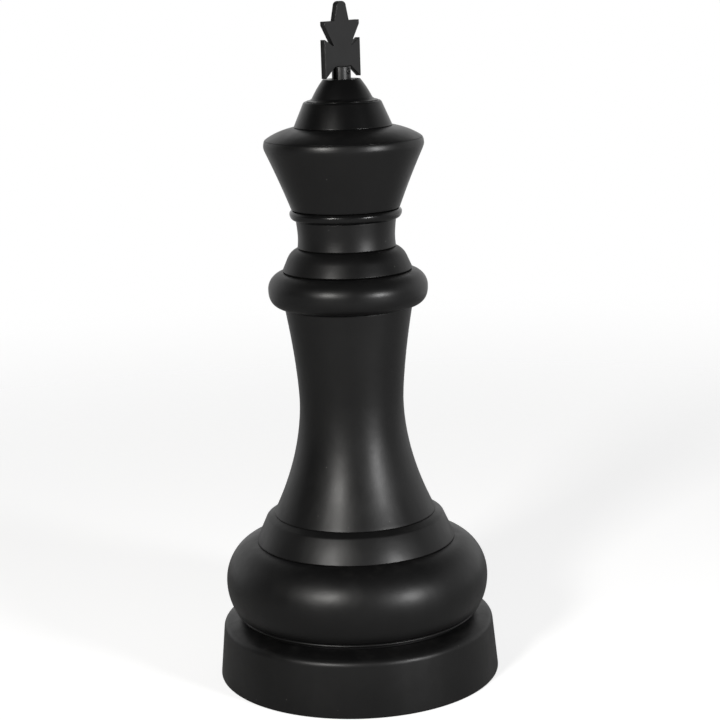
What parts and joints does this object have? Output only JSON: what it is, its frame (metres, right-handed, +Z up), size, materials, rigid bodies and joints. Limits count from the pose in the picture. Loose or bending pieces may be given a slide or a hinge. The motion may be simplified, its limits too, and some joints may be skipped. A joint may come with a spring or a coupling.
{
  "type": "giant chess piece",
  "caption": "Oversized chess king with a turned-look stem, flared crown and turning flat cross; the head and the cap lift off.",
  "frame": {"origin": "centre of the round footprint, on the ground plane", "axes": "+Z up along the piece's axis, the flat cross lies in the XZ plane and faces -Y"},
  "size_m": [0.3858, 0.3858, 0.914],
  "materials": {
    "satin_black": "satin black finish, fine moulded texture",
    "black_steel": "satin black paint on steel",
    "plated_steel": "zinc plated",
    "fastener_steel": "plain bright",
    "nylon": "natural nylon",
    "concrete": "rough cast"
  },
  "bodies": {
    "base": {"plinth": "satin_black", "base_bulb": "satin_black", "step_collar": "satin_black", "stem": "satin_black", "collar_ring": "satin_black", "collar_dome": "satin_black", "base_plate": "plated_steel", "ballast_ring": "concrete", "spine_tube": "plated_steel", "spine_nut": "plated_steel", "spine_washer": "plated_steel", "spine_bush": "nylon", "plate_screw_1": "fastener_steel", "plate_screw_2": "fastener_steel", "plate_screw_3": "fastener_steel", "plate_screw_4": "fastener_steel", "plate_screw_5": "fastener_steel", "plate_screw_6": "fastener_steel", "flange_bolt_1": "fastener_steel", "flange_bolt_2": "fastener_steel", "flange_bolt_3": "fastener_steel", "flange_bolt_4": "fastener_steel", "flange_nut_1": "fastener_steel", "flange_nut_2": "fastener_steel", "flange_nut_3": "fastener_steel", "flange_nut_4": "fastener_steel"},
    "head": {"neck": "satin_black", "neck_bead": "satin_black", "crown_cup": "satin_black", "crown_shoulder": "satin_black", "lower_dome": "satin_black", "head_tube": "plated_steel", "head_washer": "plated_steel", "head_nut": "plated_steel"},
    "cap": {"upper_dome": "satin_black", "finial_bush": "nylon"},
    "finial": {"finial_rod": "black_steel", "finial_cross": "black_steel", "cross_screw": "black_steel", "finial_retaining_ring": "fastener_steel"}
  },
  "joints": [
    {"name": "head_lift", "type": "slide", "parent": "base", "child": "head", "axis": [0, 0, 1], "range_m": [0, 0.09]},
    {"name": "cap_lift", "type": "slide", "parent": "head", "child": "cap", "axis": [0, 0, 1], "range_m": [0, 0.07]},
    {"name": "finial_turn", "type": "hinge", "parent": "cap", "child": "finial", "pos_m": [0, 0, 0.8], "axis": [0, 0, 1], "continuous": true}
  ]
}
